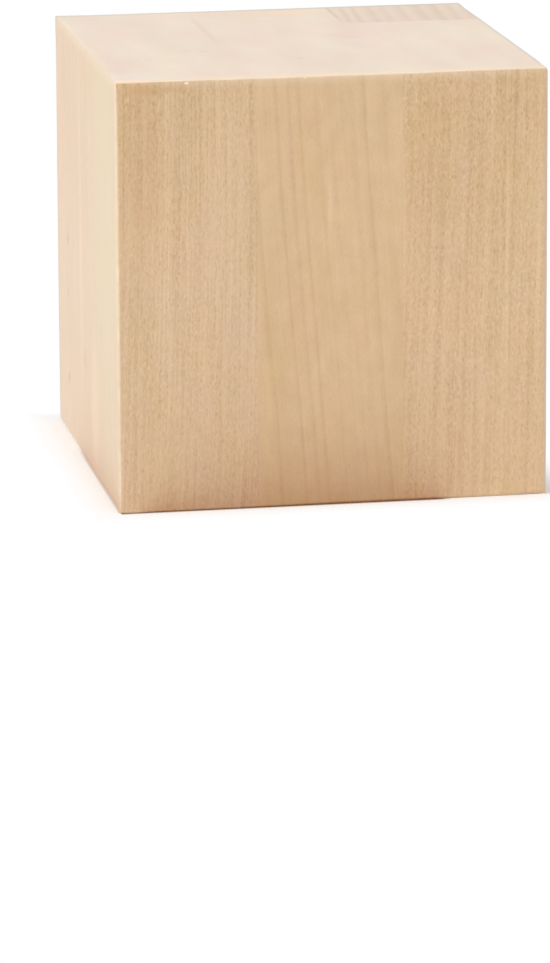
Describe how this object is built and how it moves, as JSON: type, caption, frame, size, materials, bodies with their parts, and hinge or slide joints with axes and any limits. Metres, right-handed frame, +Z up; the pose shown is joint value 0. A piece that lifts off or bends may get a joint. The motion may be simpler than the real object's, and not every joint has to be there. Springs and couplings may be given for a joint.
{
  "type": "wooden cube",
  "caption": "Solid pale hardwood cube, glued from side-by-side strips with vertical grain and lightly eased edges; a craft, stacking or bench block.",
  "frame": {"origin": "middle of the bottom face, where the cube stands", "axes": "+Z up along the wood grain, -Y out of the front face, +X to the right, across the laminations"},
  "size_m": [0.0762, 0.0762, 0.0762],
  "materials": {
    "left_board_wood": "bare, fine sanded, faintly pink",
    "middle_board_wood": "bare, fine sanded, faintly yellow",
    "right_front_wood": "bare, fine sanded",
    "right_back_wood": "bare, fine sanded, darker rings"
  },
  "bodies": {
    "root": {"left_board": "left_board_wood", "middle_board": "middle_board_wood", "right_front_strip": "right_front_wood", "right_back_strip": "right_back_wood"}
  },
  "joints": []
}
